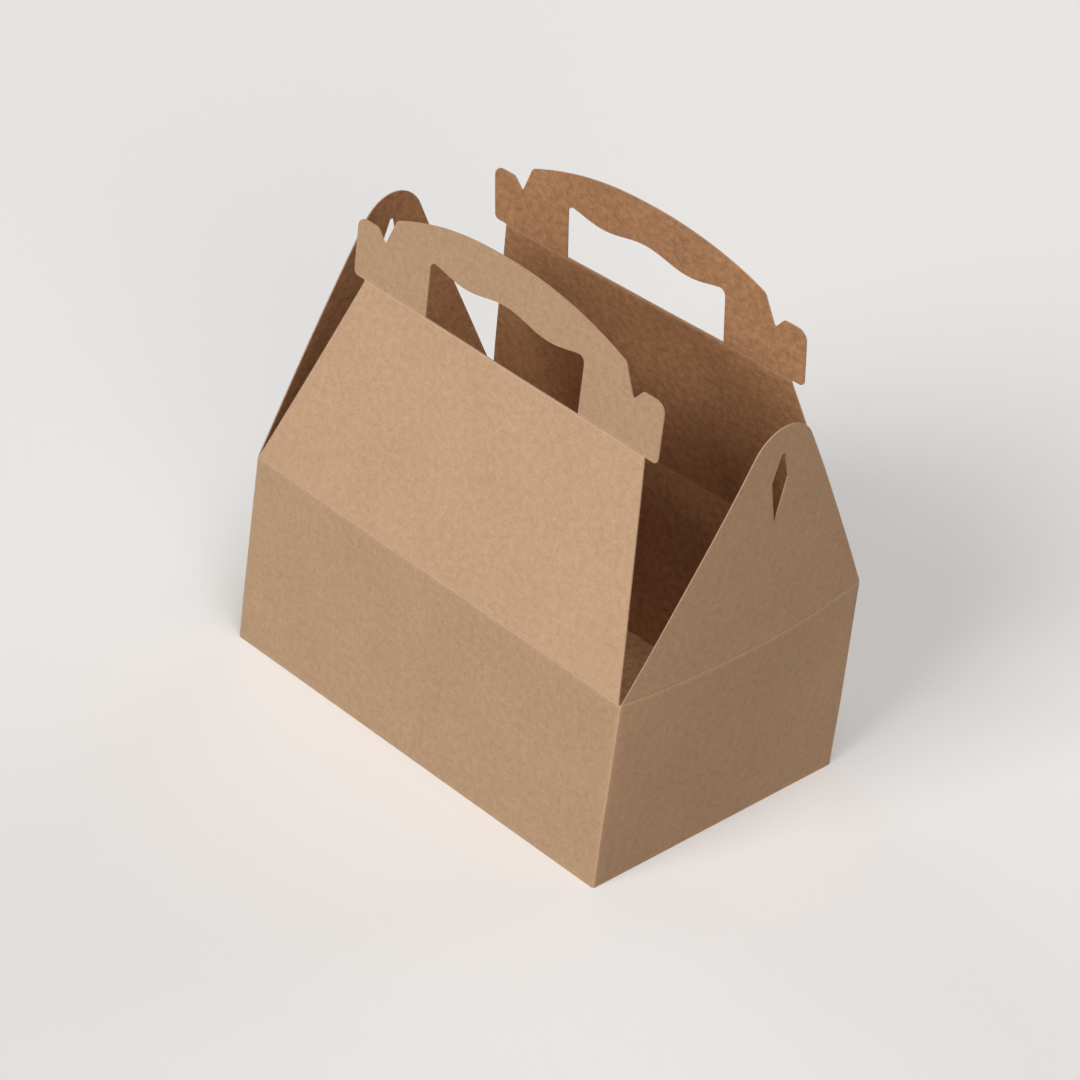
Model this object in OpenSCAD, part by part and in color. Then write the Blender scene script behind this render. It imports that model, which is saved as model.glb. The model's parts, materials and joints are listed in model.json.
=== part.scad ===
// Gable top bakery box, folded from one die-cut sheet of kraft board, shown open.
// X runs along the long walls, Y across the box, Z up. The origin is at the centre of the base.
// Each flap turns about a scored crease that lies in the middle of the board.

/* [Box] */
// Outside length of the box
box_length = 228; // [200:1:300]
// Outside width of the box
box_width = 148; // [120:1:180]
// Height of the four walls, floor to crease
wall_height = 94; // [60:1:140]
// Thickness of the board
board = 0.6; // [0.4:0.05:0.8]
// Outside radius of the folded corners
fold_radius = 0.9; // [0.8:0.1:1.6]

/* [Roof] */
// Height of the closed ridge above the wall creases
gable_rise = 63.6; // [50:0.1:80]
// How far each end of the ridge stands in from the end wall
ridge_inset = 29.6; // [24:0.1:36]
// Space between the end of a roof panel's crease and the corner of the box
roof_corner_gap = 0.9; // [0.8:0.1:2]
// Space left between the two handles when the box is closed
handle_gap = 0.3; // [0.2:0.1:1]

/* [Handle] */
// Height of the handle at its middle, above the ridge crease
handle_height = 49.1; // [44:0.1:56]
// Distance from the end of the ridge crease to the hand hole
hand_post = 38.2; // [34:0.1:42]
// Height of the hand hole's top edge, at its mean line
hand_height = 26.1; // [20:0.1:28]
// Height of each finger swell above or below the mean line
grip_swell = 1.8; // [0:0.1:2.5]
// Distance from the end of the ridge crease to the outer edge of the ear
ear_reach = 7.2; // [5:0.1:9]
// Height of the ear above the ridge crease
ear_height = 27.8; // [25:0.1:29]
// Distance from the end of the ridge crease in to the ear's inner corner
ear_inset = 5.2; // [3:0.1:6]
// Height of the bottom of the locking notch
notch_floor = 22; // [18:0.1:22.5]
// Distance from the end of the ridge crease in to the shoulder of the arch
shoulder_inset = 16.3; // [15:0.1:20]
// Height of the shoulder of the arch
shoulder_height = 36; // [31:0.1:38]
// How full the arch is: 2 is a parabola, and more is flatter on top
arch_fullness = 2.2; // [2:0.1:3]

/* [End flaps] */
// Space between the end of an end flap's crease and the corner of the box
flap_corner_gap = 0.7; // [0.6:0.1:2]
// Height of an end flap, crease to tip
flap_height = 108; // [102:0.1:112]
// Radius of the tip of an end flap
tip_radius = 19.2; // [14:0.1:24]
// Greatest half width of the kite-shaped slit
slit_half_width = 4.8; // [3:0.1:7]
// Height of the slit's lower part, from its point to its widest place
slit_lower = 21.4; // [16:0.1:26]
// Height of the slit's upper part
slit_upper = 12.6; // [10:0.1:16]
// Half width of the slit's blunt top
slit_blunt = 1; // [0.9:0.1:1.5]
// How far the slit runs past the floor of the notch that it hooks into
slit_play = 1; // [0.8:0.1:2]

/* [Bottom] */
// Space between a bottom flap and the walls that it isn't folded from
bottom_gap = 1.2; // [0.8:0.1:3]
// Half width of the tongue on the front bottom flap
tongue_half = 54; // [40:1:70]
// How far the tongue reaches past the middle of the box
tongue_reach = 22; // [14:1:30]
// How far the back bottom flap reaches past the middle of the box
back_flap_lap = 16; // [10:1:24]
// Length of each end bottom flap
end_flap_depth = 66; // [50:1:75]
// Width of the glued seam inside the front wall
seam_width = 16; // [12:1:22]

/* [Pose in the hand-in state] */
// Lean of the front roof panel in from upright
front_roof_lean = 17.3; // [0:0.1:40]
// Lean of the back roof panel in from upright
back_roof_lean = 17.3; // [0:0.1:40]
// Lean of the front handle in from upright
front_handle_lean = 0; // [-20:0.1:15]
// Lean of the back handle in from upright
back_handle_lean = 8; // [-20:0.1:15]
// Lean of the left end flap out from upright
left_flap_lean = 2.6; // [0:0.1:30]
// Lean of the right end flap out from upright
right_flap_lean = 4.2; // [0:0.1:30]

/* [Hidden] */

// The score: a thin bead of board that stays whole along the hinge line, with the board pressed in on both sides.
bead_radius = 0.16;
bead_clearance = 0.04;
score_gap = 0.05;
bead_facets = 24;
half_board = board / 2;
cut_margin = 1;

// The closed box, which the ears, notches and slits are cut to fit.
ridge_half = box_length / 2 - ridge_inset;
roof_foot_half = box_length / 2 - roof_corner_gap;
roof_run = box_width / 2 - half_board - (half_board + handle_gap / 2);
roof_slant = sqrt(gable_rise * gable_rise + roof_run * roof_run);
flap_clearance = 0.3;
flap_closed_lean = atan((ridge_inset - board - flap_clearance) / gable_rise);
notch_margin = 0.5;
notch_half = box_length / 2 - half_board - tan(flap_closed_lean) * (gable_rise + notch_floor)
             - half_board / cos(flap_closed_lean) - notch_margin;

// The handle's outline.
hole_half = ridge_half - hand_post;
ear_half = ridge_half + ear_reach;
lobe_half = ridge_half - ear_inset;
shoulder_half = ridge_half - shoulder_inset;
arch_rise = handle_height - shoulder_height;
arch_steps = 14;
ear_lift = 0.5;
ear_root = 0.4;
ear_start = ridge_half + ear_root;
ear_foot_radius = 2.4;
ear_top_radius = 5;
lobe_radius = 2.4;
notch_radius = 0.8;
shoulder_radius = 3;
grip_corner_radius = 3.2;
grip_steps = 32;
grip_waves = 1.85;

// The end flap's outline.
flap_foot_half = box_width / 2 - flap_corner_gap;
tip_centre = flap_height - tip_radius;
tip_reach = sqrt(flap_foot_half * flap_foot_half + tip_centre * tip_centre);
tip_angle = acos(tip_radius / tip_reach) - atan(tip_centre / flap_foot_half);
tip_steps = 24;
slit_top = (gable_rise + notch_floor) / cos(flap_closed_lean) + slit_play;

// The bottom's plan, and the seam's.
inner_x = box_length / 2 - board;
inner_y = box_width / 2 - board;
corner_facets = 32;
lock_shoulder = 32;
tongue_root = 4;
tongue_level = 3;
tongue_corner = 8;
notch_slack = 3;
notch_back = 2;
notch_flare = 14;
notch_wide = tongue_half + notch_flare;
end_flap_shoulder = 14;
end_flap_cut = 38;
seam_foot = 4;
seam_chamfer = 6;

function unit(v) = v / norm(v);

// The points that round the corner b between a and c.
function fillet(a, b, c, r, n = 6) =
    let (u = unit(a - b), w = unit(c - b), half = acos(u * w) / 2)
    let (o = b + unit(u + w) * r / sin(half), p = b + u * r / tan(half), q = b + w * r / tan(half))
    let (s = atan2(p[1] - o[1], p[0] - o[0]), e = atan2(q[1] - o[1], q[0] - o[0]))
    let (sweep = (e - s + 540) % 360 - 180)
    [for (i = [0:n]) o + r * [cos(s + sweep * i / n), sin(s + sweep * i / n)]];

function mirrored(points) = [for (i = [len(points) - 1:-1:0]) [-points[i][0], points[i][1]]];

// One side of the handle, from the ridge crease out round the ear, over the notch and up to the arch.
function arch_point(step) =
    let (t = step / arch_steps) [shoulder_half * t, handle_height - arch_rise * pow(t, arch_fullness)];
function handle_side() =
    let (foot = [ear_half, ear_lift], top = [ear_half, ear_height], lobe = [lobe_half, ear_height])
    let (notch = [notch_half, notch_floor], shoulder = arch_point(arch_steps))
    let (start = [ear_start, ear_lift])
    concat(
        [[ear_start, 0], start],
        fillet(start, foot, top, ear_foot_radius),
        fillet(foot, top, lobe, ear_top_radius),
        fillet(top, lobe, notch, lobe_radius),
        fillet(lobe, notch, shoulder, notch_radius),
        fillet(notch, shoulder, arch_point(arch_steps - 1), shoulder_radius),
        [for (i = [arch_steps - 1:-1:1]) arch_point(i)]
    );

// The finger grip along the top of the hand hole.
function grip_height(x) = hand_height + grip_swell * cos(grip_waves * 180 * x / hole_half);
function grip_edge() =
    let (span = hole_half - grip_corner_radius, corner = [hole_half, grip_height(span)])
    let (side = fillet([hole_half, 0], corner, [0, grip_height(span)], grip_corner_radius))
    concat(side, [for (i = [1:grip_steps - 1]) let (x = span * (1 - 2 * i / grip_steps)) [x, grip_height(x)]],
           mirrored(side));

// What the score takes away beside a hinge line that lies on X, from board that lies towards +Y.
module score_cut(half_length) {
    rotate([90, 0, 90])
        linear_extrude(2 * half_length, center = true)
            polygon([[-cut_margin, -board], [-cut_margin, board], [score_gap + board, board],
                     [score_gap, 0], [score_gap + board, -board]]);
}

module hinge_line(half_length, radius) {
    rotate([0, 90, 0])
        cylinder(h = 2 * half_length, r = radius, center = true, $fn = bead_facets);
}

// A flat panel in the XY plane, with its foot scored and cleared for the bead that carries it.
module scored_panel(half_length) {
    difference() {
        linear_extrude(board, center = true) children();
        score_cut(half_length + cut_margin);
        hinge_line(half_length + cut_margin, bead_radius + bead_clearance);
    }
}

// The roof panel stands on its wall's bead. Its ridge is cut square under the hand hole,
// and scored on each side of it, where it carries the handle's bead.
module roof_panel() {
    leg_half = (ridge_half - hole_half) / 2;
    difference() {
        scored_panel(roof_foot_half)
            polygon([[-roof_foot_half, 0], [roof_foot_half, 0],
                     [ridge_half, roof_slant], [-ridge_half, roof_slant]]);
        for (side = [-1, 1])
            translate([side * (hole_half + leg_half + cut_margin), roof_slant, 0])
                rotate([0, 0, 180]) score_cut(leg_half + cut_margin);
    }
    for (side = [-1, 1])
        translate([side * (hole_half + leg_half), roof_slant, 0])
            hinge_line(leg_half, bead_radius);
}

// The handle is an arch with an ear at each end, and a hand hole that is open at the ridge.
module handle_panel() {
    scored_panel(ear_half)
        difference() {
            polygon(concat(handle_side(), [[0, handle_height]], mirrored(handle_side())));
            polygon(concat([[hole_half, -cut_margin]], grip_edge(), [[-hole_half, -cut_margin]]));
        }
}

// The end flap is a triangle with a round tip and a kite-shaped slit for the two ears.
module end_flap_panel() {
    tip = [for (i = [0:tip_steps]) let (a = tip_angle + (180 - 2 * tip_angle) * i / tip_steps)
           [tip_radius * cos(a), tip_centre + tip_radius * sin(a)]];
    slit_middle = slit_top - slit_upper;
    scored_panel(flap_foot_half)
        difference() {
            polygon(concat([[-flap_foot_half, 0], [flap_foot_half, 0]], tip));
            polygon([[0, slit_middle - slit_lower], [slit_half_width, slit_middle],
                     [slit_blunt, slit_top], [-slit_blunt, slit_top], [-slit_half_width, slit_middle]]);
        }
}

module rounded_plan(length, width, r) {
    square([length - 2 * r, width], center = true);
    square([length, width - 2 * r], center = true);
    for (x = [-1, 1], y = [-1, 1])
        translate([x * (length / 2 - r), y * (width / 2 - r)]) circle(r, $fn = corner_facets);
}

// The four walls in one band, with their top edges scored.
module walls() {
    difference() {
        linear_extrude(wall_height)
            difference() {
                rounded_plan(box_length, box_width, fold_radius);
                rounded_plan(box_length - 2 * board, box_width - 2 * board, fold_radius - board);
            }
        for (turn = [0, 180]) rotate([0, 0, turn]) {
            translate([0, half_board - box_width / 2, wall_height])
                rotate([-90, 0, 0]) score_cut(box_length / 2 + cut_margin);
            translate([box_length / 2 - half_board, 0, wall_height])
                rotate([0, 0, 90]) rotate([-90, 0, 0]) score_cut(box_width / 2 + cut_margin);
        }
    }
    for (turn = [0, 180]) rotate([0, 0, turn]) {
        translate([0, half_board - box_width / 2, wall_height])
            hinge_line(roof_foot_half, bead_radius);
        translate([box_length / 2 - half_board, 0, wall_height])
            rotate([0, 0, 90]) hinge_line(flap_foot_half, bead_radius);
    }
}

module layer(level) {
    translate([0, 0, level * board]) linear_extrude(board) children();
}

// The locked bottom, in layers from the outside in: the front flap, the two end flaps,
// the notched back flap, and the front flap's tongue, which comes up through the notch.
module bottom() {
    foot_x = inner_x - bottom_gap;
    foot_y = inner_y - bottom_gap;
    root_y = inner_y + half_board;
    root_x = inner_x + half_board;
    layer(0)
        polygon([[-foot_x, -root_y], [foot_x, -root_y], [foot_x, -lock_shoulder],
                 [tongue_half, -tongue_root], [-tongue_half, -tongue_root], [-foot_x, -lock_shoulder]]);
    for (side = [-1, 1])
        layer(1)
            polygon([[side * root_x, -foot_y], [side * root_x, foot_y],
                     [side * (root_x - end_flap_shoulder), foot_y],
                     [side * (inner_x - end_flap_depth), foot_y - end_flap_cut],
                     [side * (inner_x - end_flap_depth), end_flap_cut - foot_y],
                     [side * (root_x - end_flap_shoulder), -foot_y]]);
    layer(2)
        difference() {
            polygon([[-foot_x, root_y], [foot_x, root_y], [foot_x, 0],
                     [foot_x - back_flap_lap, -back_flap_lap], [back_flap_lap - foot_x, -back_flap_lap],
                     [-foot_x, 0]]);
            polygon([[-notch_wide, -back_flap_lap - cut_margin], [notch_wide, -back_flap_lap - cut_margin],
                     [tongue_half + notch_slack, notch_back], [-tongue_half - notch_slack, notch_back]]);
        }
    translate([-tongue_half, -tongue_root - board, 0])
        cube([2 * tongue_half, board, tongue_level * board + board]);
    layer(tongue_level)
        polygon([[-tongue_half, -tongue_root - board], [tongue_half, -tongue_root - board],
                 [tongue_half, tongue_reach - tongue_corner], [tongue_half - tongue_corner, tongue_reach],
                 [tongue_corner - tongue_half, tongue_reach], [-tongue_half, tongue_reach - tongue_corner]]);
}

// The flap that closes the band of walls, glued inside the front wall at the left corner.
module glued_seam() {
    free_x = seam_width - inner_x;
    translate([0, board - inner_y, 0])
        rotate([90, 0, 0])
            linear_extrude(board + half_board)
                polygon([[-inner_x - half_board, seam_foot], [free_x, seam_foot + seam_chamfer],
                         [free_x, wall_height - seam_foot - seam_chamfer],
                         [-inner_x - half_board, wall_height - seam_foot]]);
}

module tray() {
    color("#9c7c5c") {
        walls();
        bottom();
        glued_seam();
    }
}

// A roof panel and its handle in place over the front wall.
module on_front_wall(lean) {
    translate([0, half_board - box_width / 2, wall_height]) rotate([90 - lean, 0, 0]) children();
}

module on_front_ridge(roof_lean, handle_lean) {
    translate([0, half_board - box_width / 2 + roof_slant * sin(roof_lean),
               wall_height + roof_slant * cos(roof_lean)])
        rotate([90 - handle_lean, 0, 0]) children();
}

module on_right_wall(lean) {
    translate([box_length / 2 - half_board, 0, wall_height])
        rotate([0, lean, 0]) rotate([90, 0, 90]) children();
}

module front_roof_panel() {
    color("#d2b18f") on_front_wall(front_roof_lean) roof_panel();
}

module back_roof_panel() {
    color("#8a6547") mirror([0, 1, 0]) on_front_wall(back_roof_lean) roof_panel();
}

module front_handle() {
    color("#bd9b7b") on_front_ridge(front_roof_lean, front_handle_lean) handle_panel();
}

module back_handle() {
    color("#b08765") mirror([0, 1, 0]) on_front_ridge(back_roof_lean, back_handle_lean) handle_panel();
}

module left_end_flap() {
    color("#6f4f35") mirror([1, 0, 0]) on_right_wall(left_flap_lean) end_flap_panel();
}

module right_end_flap() {
    color("#8b6b52") on_right_wall(right_flap_lean) end_flap_panel();
}

tray();
front_roof_panel();
back_roof_panel();
front_handle();
back_handle();
left_end_flap();
right_end_flap();
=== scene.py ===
import json
import math

import bmesh
import bpy
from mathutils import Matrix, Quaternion, Vector, noise


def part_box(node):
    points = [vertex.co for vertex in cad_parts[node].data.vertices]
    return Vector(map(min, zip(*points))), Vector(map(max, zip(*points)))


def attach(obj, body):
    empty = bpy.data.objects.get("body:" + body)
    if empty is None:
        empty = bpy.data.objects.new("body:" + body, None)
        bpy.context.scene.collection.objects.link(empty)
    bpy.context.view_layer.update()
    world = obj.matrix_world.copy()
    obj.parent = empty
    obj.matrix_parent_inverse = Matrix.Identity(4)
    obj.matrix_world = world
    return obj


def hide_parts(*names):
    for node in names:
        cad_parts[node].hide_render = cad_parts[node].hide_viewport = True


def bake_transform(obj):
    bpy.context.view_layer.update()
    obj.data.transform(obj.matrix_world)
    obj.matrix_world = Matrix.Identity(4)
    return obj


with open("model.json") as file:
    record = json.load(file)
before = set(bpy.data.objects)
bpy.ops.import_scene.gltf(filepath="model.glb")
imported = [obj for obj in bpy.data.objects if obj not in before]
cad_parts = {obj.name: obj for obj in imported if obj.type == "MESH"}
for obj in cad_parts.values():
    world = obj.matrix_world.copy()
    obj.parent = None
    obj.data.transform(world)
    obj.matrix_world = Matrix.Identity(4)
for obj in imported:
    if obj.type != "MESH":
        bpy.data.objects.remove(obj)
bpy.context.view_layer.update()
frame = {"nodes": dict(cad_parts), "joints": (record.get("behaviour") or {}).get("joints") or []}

# Camera
# The box is seen from its front right corner and from above, through a long lens.
# The camera is tipped a little, so the upright edges lean to the right.
photo_side = 1080
photo_focal = 3500
view_azimuth = math.radians(42.33)
view_elevation = math.radians(32.05)
view_roll = math.radians(6.84)
view_distance = 1.5055
view_centre = Vector((0.0017, -0.0085, 0.0882))
towards_camera = Vector((math.sin(view_azimuth) * math.cos(view_elevation),
                         -math.cos(view_azimuth) * math.cos(view_elevation),
                         math.sin(view_elevation)))
lens = bpy.data.cameras.new("camera")
lens.sensor_width = 36
lens.lens = lens.sensor_width * photo_focal / photo_side
camera = bpy.data.objects.new("camera", lens)
bpy.context.scene.collection.objects.link(camera)
camera.location = view_centre + view_distance * towards_camera
camera.rotation_mode = "QUATERNION"
camera.rotation_quaternion = towards_camera.to_track_quat("Z", "Y") @ Quaternion((0, 0, 1), view_roll)
bpy.context.scene.camera = camera

# The board
# One sheet of brown kraft board, 0.6 mm thick, die cut and scored. The outer face is smooth and paler.
# The inner face is browner and more blotched, and the cut edge is paler than both.
# Every piece carries its place in the flat sheet as a UV map in metres, so the grain runs on across the
# folds, and a second map with its distance from the folds below and above it.
tray_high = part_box("tray")[1]
fold = {joint["name"]: joint for joint in frame["joints"]}
half_length = tray_high.x
half_width = tray_high.y
crease_height = fold["front_roof_fold"]["pos_m"][2]
board = 2 * (half_width + fold["front_roof_fold"]["pos_m"][1])
front_ridge = Vector(fold["front_handle_fold"]["pos_m"])
back_ridge = Vector(fold["back_handle_fold"]["pos_m"])
roof_slant = (front_ridge - Vector(fold["front_roof_fold"]["pos_m"])).length
right_fold_at = half_length
back_fold_at = half_length + 2 * half_width
left_fold_at = 3 * half_length + 2 * half_width
seam_fold_at = 3 * half_length + 4 * half_width
upright_folds = (-half_length, right_fold_at, back_fold_at, left_fold_at, seam_fold_at)
no_fold = 1


def math_node(tree, operation, first, second=None):
    node = tree.nodes.new("ShaderNodeMath")
    node.operation = operation
    for socket, value in zip(node.inputs, (first, second)):
        if value is None:
            continue
        if isinstance(value, (int, float)):
            socket.default_value = value
        else:
            tree.links.new(value, socket)
    return node.outputs[0]


def clouds(tree, place, size, stretch=(1, 1), detail=3.0, roughness=0.55):
    """Noise from 0 to 1 whose patches are about size metres across, drawn out by stretch."""
    scaled = tree.nodes.new("ShaderNodeMapping")
    scaled.inputs["Scale"].default_value = (1 / (size * stretch[0]), 1 / (size * stretch[1]), 1)
    tree.links.new(place, scaled.inputs["Vector"])
    cloud = tree.nodes.new("ShaderNodeTexNoise")
    cloud.noise_dimensions = "2D"
    cloud.inputs["Scale"].default_value = 1
    cloud.inputs["Detail"].default_value = detail
    cloud.inputs["Roughness"].default_value = roughness
    tree.links.new(scaled.outputs["Vector"], cloud.inputs["Vector"])
    return cloud.outputs["Fac"]


def ramp(tree, value, low, high, bottom, top):
    node = tree.nodes.new("ShaderNodeMapRange")
    node.clamp = True
    for name, number in (("From Min", low), ("From Max", high), ("To Min", bottom), ("To Max", top)):
        node.inputs[name].default_value = number
    tree.links.new(value, node.inputs["Value"])
    return node.outputs["Result"]


def shade(tree, colour, factor):
    """The colour times a grey factor."""
    node = tree.nodes.new("ShaderNodeMix")
    node.data_type = "RGBA"
    node.blend_type = "MULTIPLY"
    node.inputs["Factor"].default_value = 1
    if isinstance(colour, tuple):
        node.inputs["A"].default_value = (*colour, 1)
    else:
        tree.links.new(colour, node.inputs["A"])
    tree.links.new(factor, node.inputs["B"])
    return node.outputs["Result"]


def tint(tree, colour, other, amount):
    node = tree.nodes.new("ShaderNodeMix")
    node.data_type = "RGBA"
    node.inputs["B"].default_value = (*other, 1)
    tree.links.new(colour, node.inputs["A"])
    tree.links.new(amount, node.inputs["Factor"])
    return node.outputs["Result"]


def new_surface(name, roughness, specular):
    """A new material, its node tree and its surface, with these constants set."""
    material = bpy.data.materials.new(name)
    material.use_nodes = True
    surface = material.node_tree.nodes["Principled BSDF"]
    surface.inputs["Roughness"].default_value = roughness
    surface.inputs["Specular IOR Level"].default_value = specular
    return material, material.node_tree, surface


def uv_place(tree, uv_map):
    node = tree.nodes.new("ShaderNodeUVMap")
    node.uv_map = uv_map
    return node.outputs["UV"]


def split_axes(tree, place):
    node = tree.nodes.new("ShaderNodeSeparateXYZ")
    tree.links.new(place, node.inputs["Vector"])
    return node.outputs["X"], node.outputs["Y"]


def kraft(name, colour, crease_wear_and_highlight, crease_wear_and_highlight_share, blotch_size, blotch, fleck, bump):
    """Uncoated kraft board: blotches, short fibres along the sheet, sparse flecks and paler creases.
    The colour varies by the shares blotch and fleck. In a crease it goes towards the crease colour by the
    crease share: partly rubbed fibres, partly a painted highlight standing in for light on the fold's rounded
    ridge."""
    drift_size = 0.03
    drift = 0.4 * blotch
    fibre_size = 0.0010
    fibre = 0.07
    fleck_size = 0.0012
    wander_size = 0.0012
    wander = 0.0002
    wear_and_highlight_core = 0.0002
    wear_and_highlight_edge = 0.0008
    side_line_at = 0.0016
    side_line_width = 0.0004
    relief_depth = 0.0001
    material, tree, surface = new_surface(name, 0.82, 0.28)
    place = uv_place(tree, "sheet")
    drifts = clouds(tree, place, drift_size, detail=3)
    blotches = clouds(tree, place, blotch_size, stretch=(1.1, 1), detail=4, roughness=0.72)
    fibres = clouds(tree, place, fibre_size, stretch=(1.6, 1), detail=2)
    flecks = clouds(tree, place, fleck_size, stretch=(1.5, 1), detail=1)
    grain = math_node(tree, "MULTIPLY", ramp(tree, drifts, 0.25, 0.75, 1 - drift, 1 + drift),
                      ramp(tree, blotches, 0.22, 0.78, 1 - 1.5 * blotch, 1 + 1.5 * blotch))
    grain = math_node(tree, "MULTIPLY", grain, ramp(tree, fibres, 0.2, 0.8, 1 - fibre, 1 + fibre))
    grain = math_node(tree, "MULTIPLY", grain, ramp(tree, flecks, 0.20, 0.34, 1 - fleck, 1))
    grain = math_node(tree, "MULTIPLY", grain, ramp(tree, flecks, 0.70, 0.80, 1, 1 + 0.5 * fleck))
    # The distance to the nearest fold, roughened so that the paler line along the fold breaks up.
    # The line is partly rubbed board and partly a painted highlight, standing in for light on the fold's
    # rounded ridge.
    # A weaker line runs beside it, where the creasing rule's edge pressed the board; it is partly painted
    # highlight too.
    above_lower, below_upper = split_axes(tree, uv_place(tree, "folds"))
    nearest = math_node(tree, "MINIMUM", math_node(tree, "ABSOLUTE", above_lower),
                        math_node(tree, "ABSOLUTE", below_upper))
    along = split_axes(tree, place)[0]
    for fold_at in upright_folds:
        away = math_node(tree, "ABSOLUTE", math_node(tree, "SUBTRACT", along, fold_at))
        nearest = math_node(tree, "MINIMUM", nearest, away)
    wandering = ramp(tree, clouds(tree, place, wander_size, detail=2), 0.3, 0.7, -wander, wander)
    # Paler colour along the folds: partly rubbed board, partly painted highlight where light catches the
    # rounded fold.
    wear_and_highlight = ramp(tree, math_node(tree, "ADD", nearest, wandering), wear_and_highlight_core, wear_and_highlight_edge, crease_wear_and_highlight_share, 0)
    beside = math_node(tree, "ABSOLUTE", math_node(tree, "SUBTRACT", nearest, side_line_at))
    wear_and_highlight = math_node(tree, "ADD", wear_and_highlight, ramp(tree, beside, 0, side_line_width, 0.3 * crease_wear_and_highlight_share, 0))
    tree.links.new(tint(tree, shade(tree, colour, grain), crease_wear_and_highlight, wear_and_highlight), surface.inputs["Base Color"])
    relief = tree.nodes.new("ShaderNodeBump")
    relief.inputs["Strength"].default_value = bump
    relief.inputs["Distance"].default_value = relief_depth
    tree.links.new(math_node(tree, "ADD", blotches, fibres), relief.inputs["Height"])
    tree.links.new(relief.outputs["Normal"], surface.inputs["Normal"])
    return material


def cut_edge(name, colour):
    """The cut edge of the board: bare fibres, squeezed by the die."""
    fibres_per_metre = 900
    material, tree, surface = new_surface(name, 0.9, 0.2)
    place = tree.nodes.new("ShaderNodeTexCoord").outputs["Object"]
    cloud = tree.nodes.new("ShaderNodeTexNoise")
    cloud.inputs["Scale"].default_value = fibres_per_metre
    cloud.inputs["Detail"].default_value = 3
    tree.links.new(place, cloud.inputs["Vector"])
    tree.links.new(shade(tree, colour, ramp(tree, cloud.outputs["Fac"], 0.3, 0.7, 0.86, 1.08)),
                   surface.inputs["Base Color"])
    return material


# The crease colour and share given here stand for rubbed board and painted highlight together.
outer_face = kraft("kraft_outer_face", (0.56, 0.371, 0.236), crease_wear_and_highlight=(0.74, 0.54, 0.38), crease_wear_and_highlight_share=0.45,
                   blotch_size=0.0034, blotch=0.072, fleck=0.12, bump=0.25)
inner_face = kraft("kraft_inner_face", (0.485, 0.265, 0.135), crease_wear_and_highlight=(0.66, 0.44, 0.28), crease_wear_and_highlight_share=0.6,
                   blotch_size=0.0036, blotch=0.20, fleck=0.15, bump=0.35)
edge_face = cut_edge("kraft_cut_edge", (0.50, 0.33, 0.225))

# How the open box has settled
# The put-up box is soft: its rim is a little racked, its end walls belly outwards at the top, and the
# board is nowhere quite flat. Every piece is moved by the same rule, so the folds stay closed.
# Each shift belongs to one corner of the rim or of the ridge, named by the signs of its x and y.
rim_shift = {(-1, -1): Vector((0.0016, 0.0021, 0.0010)), (1, -1): Vector((0.0012, -0.0004, -0.0008)),
             (1, 1): Vector((-0.0013, 0.0001, 0.0018)), (-1, 1): Vector((-0.0013, -0.0006, -0.0011))}
ridge_shift = {(-1, -1): Vector((0.0032, -0.0004, 0.0014)), (1, -1): Vector((0.0012, -0.0005, -0.0023)),
               (1, 1): Vector((-0.0032, 0.0001, 0.0017)), (-1, 1): Vector((-0.0035, -0.0008, -0.0004))}
ridge_half = 0.0844
end_bulge = 0.006
ripple = 0.00035
ripple_length = 0.055
ripple_offsets = (0, 17, 31)
flat_foot = 0.03
fold_depth = 0.00013
fold_reach = 0.0018
fold_rows = (0.0004, 0.0008, 0.0013, fold_reach)


def racked(shift, across, along):
    """The shift at a place between four corners, which lie at -1 and 1."""
    total = Vector()
    for (corner_x, corner_y), corner_shift in shift.items():
        total += corner_shift * (1 + corner_x * across) * (1 + corner_y * along) / 4
    return total


def fold_sink(distance):
    """How far the board lies in from a sharp fold, at this distance from it, because the fold is rounded."""
    return fold_depth * max(0, 1 - distance / fold_reach) ** 2


def settled(place, under_ridge=False):
    """Where a point of the regular box has gone on the real one.
    Roof panels and handles are under_ridge: they follow the ridge and don't belly."""
    rack = racked(rim_shift, place.x / half_length, place.y / half_width)
    bulge = end_bulge * max(0, 1 - (place.y / half_width) ** 2) * place.x / half_length
    if place.z < crease_height:
        rack *= place.z / crease_height
        bulge *= place.z / crease_height
    if under_ridge:
        bulge = 0
        at_ridge = racked(ridge_shift, place.x / ridge_half, place.y / back_ridge.y)
        climbed = (place.z - crease_height) / (back_ridge.z - crease_height)
        rack = rack.lerp(at_ridge, min(1, max(0, climbed)))
    calm = min(1, place.z / flat_foot)
    waves = Vector([noise.noise(place / ripple_length + Vector((0, 0, offset))) for offset in ripple_offsets])
    return place + rack + Vector((bulge, 0, 0)) + waves * ripple * calm


def edit(piece):
    """Opens one piece in edit mode with all of it selected."""
    if bpy.context.object and bpy.context.object.mode == "EDIT":
        bpy.ops.object.mode_set(mode="OBJECT")
    bpy.ops.object.select_all(action="DESELECT")
    piece.select_set(True)
    bpy.context.view_layer.objects.active = piece
    bpy.ops.object.mode_set(mode="EDIT")
    bpy.ops.mesh.select_mode(type="FACE")
    bpy.ops.mesh.select_all(action="SELECT")


def rule(direction, places):
    """Cuts the open mesh along planes square to direction, so that it can bend there."""
    for place in places:
        bpy.ops.mesh.select_all(action="SELECT")
        bpy.ops.mesh.bisect(plane_co=direction * place, plane_no=direction)


def steps(low, high, count):
    return [low + (high - low) * i / count for i in range(1, count)]


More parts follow.
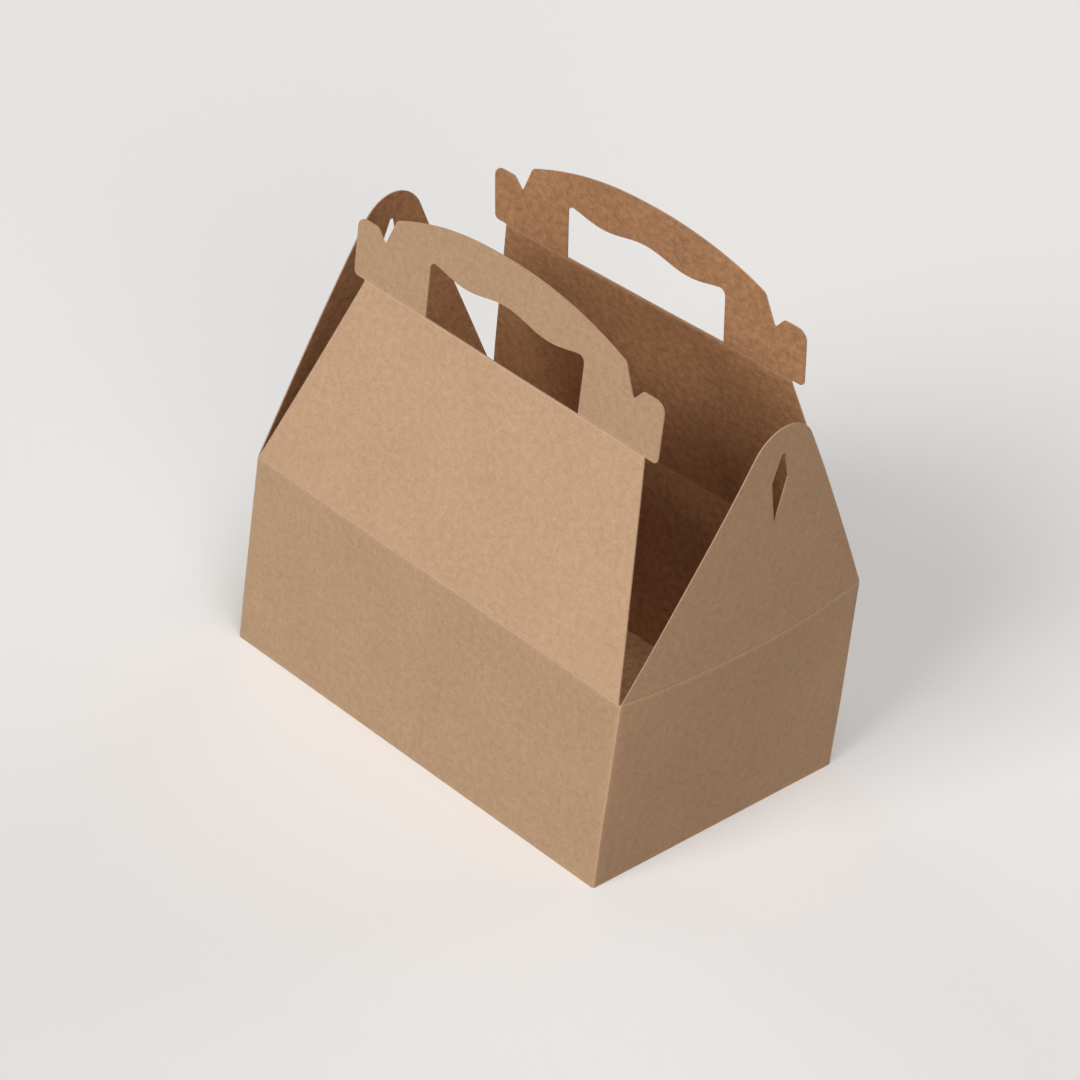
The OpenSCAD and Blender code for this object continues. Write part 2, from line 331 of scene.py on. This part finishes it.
def map_sheet(piece, sheet_place, lower_fold, upper_fold):
    """Gives the piece its UV maps: its place in the flat sheet, and how far its folds are."""
    piece.data.uv_layers.new(name="sheet")
    piece.data.uv_layers.new(name="folds")
    for face in piece.data.polygons:
        for loop in face.loop_indices:
            vertex = piece.data.vertices[piece.data.loops[loop].vertex_index]
            along, up = sheet_place(vertex.co, face.normal)
            piece.data.uv_layers["sheet"].data[loop].uv = (along, up)
            piece.data.uv_layers["folds"].data[loop].uv = (up - lower_fold, upper_fold - up)


def thicken(piece):
    """Gives the skin the thickness of the board, inwards, with its three finishes."""
    for material in (outer_face, inner_face, edge_face):
        piece.data.materials.append(material)
    bpy.context.view_layer.objects.active = piece
    wall = piece.modifiers.new("board", "SOLIDIFY")
    wall.thickness = board
    wall.offset = -1
    wall.use_even_offset = True
    wall.material_offset = 1
    wall.material_offset_rim = 2
    bpy.ops.object.modifier_apply(modifier=wall.name)
    bpy.ops.object.shade_smooth_by_angle(angle=math.radians(25))


# Tray walls
# The four walls are one band of board, folded at the corners and glued inside the front left one.
# Its folds are rounded, and its top edge is the score that the roof panels and end flaps turn on.
fold_radius = 0.0011
foot_rows = [0.001, 0.002]
wall_rows = 18
long_columns = 36
short_columns = 26
bpy.ops.object.select_all(action="DESELECT")
bpy.ops.mesh.primitive_cube_add(size=1, location=(0, 0, crease_height / 2), calc_uvs=False)
walls = bpy.context.object
walls.name = "tray_walls"
walls.scale = (2 * half_length, 2 * half_width, crease_height)
bpy.ops.object.transform_apply(location=True, scale=True)
edit(walls)
bpy.ops.mesh.select_all(action="DESELECT")
mesh = bmesh.from_edit_mesh(walls.data)
for face in mesh.faces:
    face.select = abs(face.normal.z) > 0.5
bmesh.update_edit_mesh(walls.data)
bpy.ops.mesh.delete(type="FACE")
bpy.ops.mesh.select_mode(type="EDGE")
bpy.ops.mesh.select_all(action="DESELECT")
mesh = bmesh.from_edit_mesh(walls.data)
for edge in mesh.edges:
    edge.select = abs(edge.verts[0].co.z - edge.verts[1].co.z) > crease_height / 2
bmesh.update_edit_mesh(walls.data)
bpy.ops.mesh.bevel(offset=fold_radius, segments=5, affect="EDGES")
bpy.ops.mesh.select_mode(type="FACE")
crease_rows = [crease_height - row for row in fold_rows]
rule(Vector((0, 0, 1)), foot_rows + steps(0, crease_height, wall_rows) + crease_rows)
rule(Vector((1, 0, 0)), steps(-half_length, half_length, long_columns))
rule(Vector((0, 1, 0)), steps(-half_width, half_width, short_columns))
bpy.ops.object.mode_set(mode="OBJECT")


def wall_sheet(place, normal):
    if abs(normal.y) >= abs(normal.x):
        along = place.x if normal.y < 0 else back_fold_at + half_length - place.x
    elif normal.x > 0:
        along = right_fold_at + half_width + place.y
    else:
        along = left_fold_at + half_width - place.y
    return along, place.z


map_sheet(walls, wall_sheet, 0, crease_height)
inwards = [Vector((-vertex.normal.x, -vertex.normal.y, 0)) for vertex in walls.data.vertices]
for vertex, inward in zip(walls.data.vertices, inwards):
    vertex.co = settled(vertex.co + inward * fold_sink(crease_height - vertex.co.z))
thicken(walls)
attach(walls, "tray")
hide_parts("tray")

# Glued seam
# The left wall ends in a narrow flap, folded at the front left corner and glued inside the front wall.
# Its corners are cut off, so that it stays clear of the bottom and of the roof panel's crease.
seam_width = 0.016
seam_foot = 0.004
seam_chamfer = 0.006
seam_root_x = board - half_length
seam_free_x = seam_root_x + seam_width
seam_y = board - half_width
seam_top = crease_height - seam_foot
seam_outline = [(seam_root_x, seam_foot), (seam_free_x, seam_foot + seam_chamfer),
                (seam_free_x, seam_top - seam_chamfer), (seam_root_x, seam_top)]


def cut_piece(name, corners, outward):
    """The outer face of a flat piece of board, cut to these corners."""
    bpy.ops.object.select_all(action="DESELECT")
    bpy.ops.mesh.primitive_circle_add(vertices=len(corners), fill_type="NGON", calc_uvs=False)
    piece = bpy.context.object
    piece.name = name
    for vertex, corner in zip(piece.data.vertices, corners):
        vertex.co = corner
    edit(piece)
    mesh = bmesh.from_edit_mesh(piece.data)
    mesh.normal_update()
    mesh.faces.ensure_lookup_table()
    if mesh.faces[0].normal.dot(outward) < 0:
        bpy.ops.mesh.flip_normals()
    return piece


seam = cut_piece("glued_seam", [(x, seam_y, z) for x, z in seam_outline], Vector((0, -1, 0)))
rule(Vector((0, 0, 1)), steps(0, crease_height, wall_rows))
rule(Vector((1, 0, 0)), steps(seam_root_x, seam_free_x, 3))
bpy.ops.object.mode_set(mode="OBJECT")
map_sheet(seam, lambda place, normal: (seam_fold_at + place.x - seam_root_x, place.z), -no_fold, no_fold)
for vertex in seam.data.vertices:
    vertex.co = settled(vertex.co)
thicken(seam)
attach(seam, "tray")
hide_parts("tray")

# Tray bottom
# Four flaps fold in from the walls and lock: the front flap lies outermost, then the two end flaps,
# then the notched back flap, and the front flap's tongue comes up through the notch on top of it.
bottom_gap = 0.0012
root_y = half_width - board / 2
root_x = half_length - board / 2
free_x = half_length - board - bottom_gap
free_y = half_width - board - bottom_gap
lock_shoulder = 0.032
tongue_half = 0.054
tongue_root = 0.004
tongue_reach = 0.022
tongue_corner = 0.008
back_lap = 0.016
notch_half = tongue_half + 0.003
notch_mouth = notch_half + 0.011
notch_back = 0.002
end_depth = 0.066
end_shoulder = 0.014
end_cut = 0.038
end_tip = half_length - board - end_depth
front_flap = [(-free_x, -root_y), (free_x, -root_y), (free_x, -lock_shoulder), (tongue_half, -tongue_root),
              (-tongue_half, -tongue_root), (-free_x, -lock_shoulder)]
end_flap = [(root_x, -free_y), (root_x, free_y), (root_x - end_shoulder, free_y), (end_tip, free_y - end_cut),
            (end_tip, end_cut - free_y), (root_x - end_shoulder, -free_y)]
back_flap = [(free_x, root_y), (-free_x, root_y), (-free_x, 0), (back_lap - free_x, -back_lap),
             (-notch_mouth, -back_lap), (-notch_half, notch_back), (notch_half, notch_back),
             (notch_mouth, -back_lap), (free_x - back_lap, -back_lap), (free_x, 0)]
tongue = [(-tongue_half, -tongue_root - board), (tongue_half, -tongue_root - board),
          (tongue_half, tongue_reach - tongue_corner), (tongue_half - tongue_corner, tongue_reach),
          (tongue_corner - tongue_half, tongue_reach), (-tongue_half, tongue_reach - tongue_corner)]


def lay_flap(name, outline, layer):
    """One bottom flap, laid flat on so many layers of board, with its outer face down."""
    flap = cut_piece(name, [(x, y, layer * board) for x, y in outline], Vector((0, 0, -1)))
    rule(Vector((1, 0, 0)), steps(-half_length, half_length, 10))
    rule(Vector((0, 1, 0)), steps(-half_width, half_width, 8))
    bpy.ops.object.mode_set(mode="OBJECT")
    map_sheet(flap, lambda place, normal: (place.x, -half_width - place.y), no_fold, no_fold)
    thicken(flap)
    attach(flap, "tray")
    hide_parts("tray")


lay_flap("bottom_front_flap", front_flap, 0)
lay_flap("bottom_right_flap", end_flap, 1)
lay_flap("bottom_left_flap", [(-x, y) for x, y in end_flap], 1)
lay_flap("bottom_back_flap", back_flap, 2)
lay_flap("bottom_tongue", tongue, 3)

# Roof panels
# Each long wall runs on above its score as a roof panel with slanted ends. Its top edge is cut square
# under the hand hole, and scored on each side of it, where the handle is folded up.
score_gap = 0.0004
cut_tolerance = 0.00005
same_place = 1e-6
same_corner = 1e-5
same_row = 2e-5
facing = 0.999
hole_lip = 0.0006
bend_height = 0.003
bend_rows = fold_rows + (0.0024, bend_height)


def panel_skin(name, node, outward, root, climb, reach, lip=0):
    """The outer face of a cut panel, run down to its score at root and up to reach, ready to bend.
    A cut edge that lies at reach is left standing higher by lip."""
    skin = bpy.data.objects.new(name, frame["nodes"][node].data.copy())
    bpy.context.scene.collection.objects.link(skin)
    skin.data.materials.clear()
    while skin.data.uv_layers:
        skin.data.uv_layers.remove(skin.data.uv_layers[0])
    edit(skin)
    bpy.ops.mesh.customdata_custom_splitnormals_clear()
    bpy.ops.mesh.remove_doubles(threshold=same_place)
    bpy.ops.mesh.select_all(action="DESELECT")
    mesh = bmesh.from_edit_mesh(skin.data)
    mesh.normal_update()
    for face in mesh.faces:
        face.select = face.normal.dot(outward) < facing
    bmesh.update_edit_mesh(skin.data)
    bpy.ops.mesh.delete(type="FACE")
    mesh = bmesh.from_edit_mesh(skin.data)
    for vertex in mesh.verts:
        height = (vertex.co - root).dot(climb)
        if height < score_gap:
            vertex.co -= climb * height
        elif abs(reach - height) < cut_tolerance:
            vertex.co += climb * (reach - height + lip)
        elif abs(reach - height) < score_gap:
            vertex.co += climb * (reach - height)
    bmesh.update_edit_mesh(skin.data)
    bpy.ops.mesh.select_all(action="SELECT")
    bpy.ops.mesh.remove_doubles(threshold=same_corner)
    return skin


def rule_panel(skin, root, climb, reach, along, half_span, rows, columns):
    """Cuts the skin into a grid, with close rows next to the folds."""
    foot = root.dot(climb)
    rule(climb, [foot + row for row in bend_rows] + [foot + row for row in steps(0, reach, rows)]
         + [foot + reach - row for row in fold_rows])
    rule(along, steps(-half_span, half_span, columns))
    bpy.ops.mesh.select_all(action="SELECT")
    bpy.ops.mesh.remove_doubles(threshold=same_row)
    bpy.ops.mesh.dissolve_degenerate(threshold=same_corner)
    bpy.ops.object.mode_set(mode="OBJECT")


def finish_panel(skin, upper_body):
    """Thickens the skin, bakes its transform into the mesh and hides the CAD part upper_body."""
    thicken(skin)
    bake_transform(skin)
    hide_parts(upper_body)


across_x = Vector((1, 0, 0))
for side, name, ridge, fold_name in ((-1, "front_roof_panel", front_ridge, "front_roof_fold"),
                                     (1, "back_roof_panel", back_ridge, "back_roof_fold")):
    root = Vector(fold[fold_name]["pos_m"])
    climb = (ridge - root).normalized()
    outward = Vector((0, side * climb.z, -side * climb.y))
    skin = panel_skin(name + "_board", name, outward, root, climb, roof_slant, hole_lip)
    rule_panel(skin, root, climb, roof_slant, across_x, half_length, rows=18, columns=long_columns)
    map_sheet(skin, lambda place, normal: (place.x if side < 0 else back_fold_at + half_length - place.x,
                                           crease_height + (place - root).dot(climb)),
              crease_height, crease_height + roof_slant)
    for vertex in skin.data.vertices:
        height = (vertex.co - root).dot(climb)
        sink = fold_sink(roof_slant - height) - fold_sink(height)
        vertex.co = settled(vertex.co + outward * sink, under_ridge=True)
    finish_panel(skin, name)

# Handles
# Each roof panel carries a handle on its ridge: an arch with a hand hole and, at each end, an ear with a
# notch that hooks into the end flap's slit when the box is shut.
for side, name, ridge, fold_name in ((-1, "front_handle", front_ridge, "front_handle_fold"),
                                     (1, "back_handle", back_ridge, "back_handle_fold")):
    low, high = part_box(name)
    top_y = (low.y + board / 2) if side > 0 else (low.y + high.y) / 2
    climb = Vector((0, top_y - ridge.y, high.z - ridge.z)).normalized()
    outward = Vector((0, side * climb.z, -side * climb.y))
    reach = high.z - ridge.z
    skin = panel_skin(name + "_board", name, outward, ridge, climb, 2 * reach)
    rule_panel(skin, ridge, climb, reach, across_x, high.x, rows=12, columns=40)
    map_sheet(skin, lambda place, normal: (place.x if side < 0 else back_fold_at + half_length - place.x,
                                           crease_height + roof_slant + (place - ridge).dot(climb)),
              crease_height + roof_slant, no_fold)
    for vertex in skin.data.vertices:
        sink = fold_sink((vertex.co - ridge).dot(climb))
        vertex.co = settled(vertex.co + outward * sink, under_ridge=True)
    finish_panel(skin, name)

# End flaps
# Each end wall runs on above its score as a triangle with a round tip and a kite-shaped slit.
# The flap bellies out with the wall under it, and straightens towards its tip.
across_y = Vector((0, 1, 0))
left_tip_drift = Vector((end_bulge + 0.0013, 0.0019, -0.0005))
right_tip_drift = Vector((-end_bulge - 0.0008, -0.0032, 0.0007))
for side, name, fold_name, tip_drift in (
        (-1, "left_end_flap", "left_flap_fold", left_tip_drift),
        (1, "right_end_flap", "right_flap_fold", right_tip_drift)):
    root = Vector(fold[fold_name]["pos_m"])
    low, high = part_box(name)
    tip_x = (high.x if side > 0 else low.x) - side * board / 2
    climb = Vector((tip_x - root.x, 0, high.z - root.z)).normalized()
    outward = Vector((side * climb.z, 0, -side * climb.x))
    reach = high.z - root.z
    skin = panel_skin(name + "_board", name, outward, root, climb, 2 * reach)
    rule_panel(skin, root, climb, reach, across_y, half_width, rows=24, columns=30)
    middle_at = half_width + (right_fold_at if side > 0 else left_fold_at)
    map_sheet(skin, lambda place, normal: (middle_at + side * place.y,
                                           crease_height + (place - root).dot(climb)),
              crease_height, no_fold)
    for vertex in skin.data.vertices:
        height = (vertex.co - root).dot(climb)
        vertex.co = settled(vertex.co - outward * fold_sink(height)) + tip_drift * height / reach
    finish_panel(skin, name)

# Floor and light
# A plain pale floor, which throws no light back on the box, as in the photograph. Wide soft lights stand in
# front, to the right and overhead, and weak ones behind and to the left keep those sides readable.
floor_side = 12
bpy.ops.mesh.primitive_plane_add(size=floor_side, location=(0, 0, 0))
floor = bpy.context.object
floor.name = "floor"
floor.visible_diffuse = False
floor_paper = new_surface("floor_paper", 0.9, 0.5)[0]
floor_surface = floor_paper.node_tree.nodes["Principled BSDF"]
floor_surface.inputs["Base Color"].default_value = (0.93, 0.93, 0.93, 1)
floor.data.materials.append(floor_paper)


def soft_light(name, azimuth, elevation, strength, colour=(1, 1, 1), softness=32):
    """A wide light, far off: azimuth runs from the front of the box round to its right."""
    lamp = bpy.data.lights.new(name, "SUN")
    lamp.angle = math.radians(softness)
    lamp.energy = strength
    lamp.color = colour
    holder = bpy.data.objects.new(name, lamp)
    bpy.context.scene.collection.objects.link(holder)
    turn = math.radians(azimuth)
    rise = math.radians(elevation)
    direction = Vector((math.sin(turn) * math.cos(rise), -math.cos(turn) * math.cos(rise), math.sin(rise)))
    holder.location = view_centre + direction
    holder.rotation_euler = direction.to_track_quat("Z", "Y").to_euler()


soft_light("front_light", 0, 31, 1.84, (1, 0.97, 0.93))
soft_light("right_light", 60, 12, 1.0, (1, 0.83, 0.7))
soft_light("top_light", 60, 70, 1.0, (0.98, 1, 1.03))
soft_light("back_light", 180, 12, 1.0, (1, 0.94, 0.88), softness=50)
soft_light("left_light", 270, 12, 0.75, (1, 0.94, 0.88), softness=50)
world = bpy.data.worlds.new("studio")
world.use_nodes = True
world.node_tree.nodes["Background"].inputs["Color"].default_value = (1, 1, 1, 1)
world.node_tree.nodes["Background"].inputs["Strength"].default_value = 0.08
bpy.context.scene.world = world
bpy.context.scene.view_settings.view_transform = "Standard"
